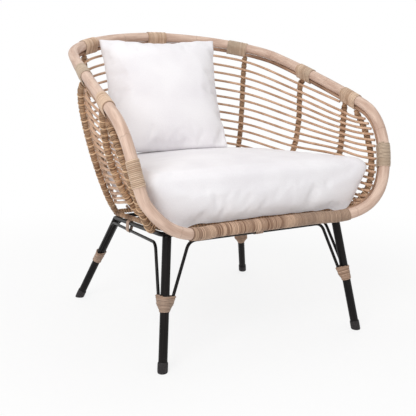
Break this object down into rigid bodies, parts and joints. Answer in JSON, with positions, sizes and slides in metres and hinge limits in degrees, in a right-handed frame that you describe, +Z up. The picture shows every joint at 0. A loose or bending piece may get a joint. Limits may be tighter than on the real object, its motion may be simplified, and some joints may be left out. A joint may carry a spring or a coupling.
{
  "type": "rattan tub armchair",
  "caption": "Low rattan tub armchair: a sloping cane hoop with ribs and rods, on splayed black steel legs with rod braces, with a loose seat cushion and a square pillow.",
  "frame": {"origin": "on the floor under the middle of the chair", "axes": "+X to the right as the chair is faced from its front, +Y to the back, +Z up"},
  "size_m": [0.7646, 0.7362, 0.8156],
  "materials": {
    "hoop_cane": "satin",
    "pale_cane": "satin",
    "rib_cane": "satin",
    "rod_cane": "satin",
    "peel": "satin",
    "black_steel": "satin",
    "black_plastic": "matte",
    "cotton": "matte"
  },
  "bodies": {
    "chair": {"main_hoop": "hoop_cane", "carrier_cane": "pale_cane", "front_rail_wrap": "peel", "back_binding": "peel", "corner_binding_right": "peel", "corner_binding_left": "peel", "side_binding_right": "peel", "side_binding_left": "peel", "shoulder_binding_right": "peel", "shoulder_binding_left": "peel", "arm_binding_right": "peel", "arm_binding_left": "peel", "back_rib": "rib_cane", "corner_rib_right": "rib_cane", "corner_rib_left": "rib_cane", "side_rib_right": "rib_cane", "side_rib_left": "rib_cane", "front_rib_right": "rib_cane", "front_rib_left": "rib_cane", "arm_rib_right": "rib_cane", "arm_rib_left": "rib_cane", "rib_peel": "peel", "rod_1": "rod_cane", "rod_2": "rod_cane", "rod_3": "rod_cane", "rod_4": "rod_cane", "rod_5": "rod_cane", "rod_6": "rod_cane", "rod_7": "rod_cane", "rod_8": "rod_cane", "rod_9": "rod_cane", "rod_10": "rod_cane", "rod_11": "rod_cane", "rod_12": "rod_cane", "rod_13": "rod_cane", "rod_14": "rod_cane", "rod_15": "rod_cane", "rod_16": "rod_cane", "rod_17": "rod_cane", "base_rim": "peel", "seat_canes": "rod_cane", "base_frame": "black_steel", "front_leg_right": "black_steel", "front_leg_left": "black_steel", "rear_leg_right": "black_steel", "rear_leg_left": "black_steel", "foot_caps": "black_plastic", "front_brace": "black_steel", "rear_brace": "black_steel", "right_brace": "black_steel", "left_brace": "black_steel", "front_leg_ties": "peel", "rear_leg_ties": "peel", "brace_straps": "peel"},
    "seat_cushion": {"seat_cushion": "cotton"},
    "pillow": {"pillow": "cotton"}
  },
  "joints": [
    {"name": "seat_cushion_lift", "type": "slide", "parent": "chair", "child": "seat_cushion", "axis": [0, 0, 1], "range_m": [0, 0.55]},
    {"name": "pillow_lift", "type": "slide", "parent": "seat_cushion", "child": "pillow", "axis": [0, 0, 1], "range_m": [0, 0.45]}
  ]
}
